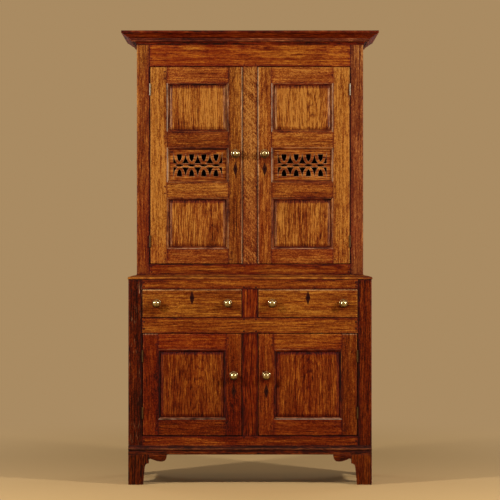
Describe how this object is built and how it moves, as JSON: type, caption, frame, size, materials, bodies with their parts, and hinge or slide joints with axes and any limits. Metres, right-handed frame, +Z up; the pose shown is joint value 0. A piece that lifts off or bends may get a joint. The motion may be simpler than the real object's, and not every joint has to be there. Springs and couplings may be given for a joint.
{
  "type": "bread and cheese cupboard",
  "caption": "Tall two-stage oak cupboard: panelled doors with pierced frets above, drawers over panelled doors below, brass ball knobs, bracket feet.",
  "frame": {"origin": "on the floor, under the middle of the whole object's box", "axes": "+Z up, +X to the right seen from the front, +Y from front to back"},
  "size_m": [1.115, 0.54, 1.9681],
  "materials": {
    "honey_oak": "waxed golden oak",
    "red_oak": "waxed red-brown oak",
    "dark_oak": "waxed dark red-brown oak",
    "inside_oak": "dry unpolished oak",
    "brass": "polished, slightly dulled"
  },
  "bodies": {
    "case": {"cornice": "dark_oak", "upper_top_board": "red_oak", "upper_left_side": "red_oak", "upper_right_side": "red_oak", "upper_back": "inside_oak", "upper_face_frame": "red_oak", "upper_floor": "inside_oak", "upper_shelf_low": "inside_oak", "upper_shelf_high": "inside_oak", "waist_board": "red_oak", "lower_left_side": "dark_oak", "lower_right_side": "dark_oak", "lower_back": "inside_oak", "lower_face_frame": "red_oak", "lower_floor": "inside_oak", "drawer_bed": "inside_oak", "base_moulding": "dark_oak", "front_left_foot": "dark_oak", "front_right_foot": "dark_oak", "upper_left_door_low_hinge_fixed_leaf": "brass", "upper_left_door_high_hinge_fixed_leaf": "brass", "upper_right_door_low_hinge_fixed_leaf": "brass", "upper_right_door_high_hinge_fixed_leaf": "brass", "lower_left_door_low_hinge_fixed_leaf": "brass", "lower_left_door_high_hinge_fixed_leaf": "brass", "lower_right_door_low_hinge_fixed_leaf": "brass", "lower_right_door_high_hinge_fixed_leaf": "brass"},
    "upper_left_door": {"upper_left_door_frame": "honey_oak", "upper_left_door_top_panel": "honey_oak", "upper_left_door_fret_panel": "honey_oak", "upper_left_door_bottom_panel": "honey_oak", "upper_left_door_knob": "brass", "upper_left_door_low_hinge_moving_leaf": "brass", "upper_left_door_high_hinge_moving_leaf": "brass"},
    "upper_right_door": {"upper_right_door_frame": "honey_oak", "upper_right_door_top_panel": "honey_oak", "upper_right_door_fret_panel": "honey_oak", "upper_right_door_bottom_panel": "honey_oak", "upper_right_door_knob": "brass", "upper_right_door_low_hinge_moving_leaf": "brass", "upper_right_door_high_hinge_moving_leaf": "brass"},
    "lower_left_door": {"lower_left_door_frame": "red_oak", "lower_left_door_panel": "red_oak", "lower_left_door_knob": "brass", "lower_left_door_low_hinge_moving_leaf": "brass", "lower_left_door_high_hinge_moving_leaf": "brass"},
    "lower_right_door": {"lower_right_door_frame": "red_oak", "lower_right_door_panel": "red_oak", "lower_right_door_knob": "brass", "lower_right_door_low_hinge_moving_leaf": "brass", "lower_right_door_high_hinge_moving_leaf": "brass"},
    "left_drawer": {"left_drawer_front": "red_oak", "left_drawer_box": "inside_oak", "left_drawer_left_knob": "brass", "left_drawer_right_knob": "brass"},
    "right_drawer": {"right_drawer_front": "red_oak", "right_drawer_box": "inside_oak", "right_drawer_left_knob": "brass", "right_drawer_right_knob": "brass"}
  },
  "joints": [
    {"name": "upper_left_door_hinge", "type": "hinge", "parent": "case", "child": "upper_left_door", "pos_m": [-0.4353, -0.1983, 1.3866], "axis": [0, 0, -1], "range_deg": [0, 165]},
    {"name": "upper_right_door_hinge", "type": "hinge", "parent": "case", "child": "upper_right_door", "pos_m": [0.4353, -0.1983, 1.3866], "axis": [0, 0, 1], "range_deg": [0, 165]},
    {"name": "lower_left_door_hinge", "type": "hinge", "parent": "case", "child": "lower_left_door", "pos_m": [-0.4663, -0.2333, 0.4345], "axis": [0, 0, -1], "range_deg": [0, 165]},
    {"name": "lower_right_door_hinge", "type": "hinge", "parent": "case", "child": "lower_right_door", "pos_m": [0.4663, -0.2333, 0.4345], "axis": [0, 0, 1], "range_deg": [0, 165]},
    {"name": "left_drawer_slide", "type": "slide", "parent": "case", "child": "left_drawer", "axis": [0, -1, 0], "range_m": [0, 0.33]},
    {"name": "right_drawer_slide", "type": "slide", "parent": "case", "child": "right_drawer", "axis": [0, -1, 0], "range_m": [0, 0.33]}
  ]
}
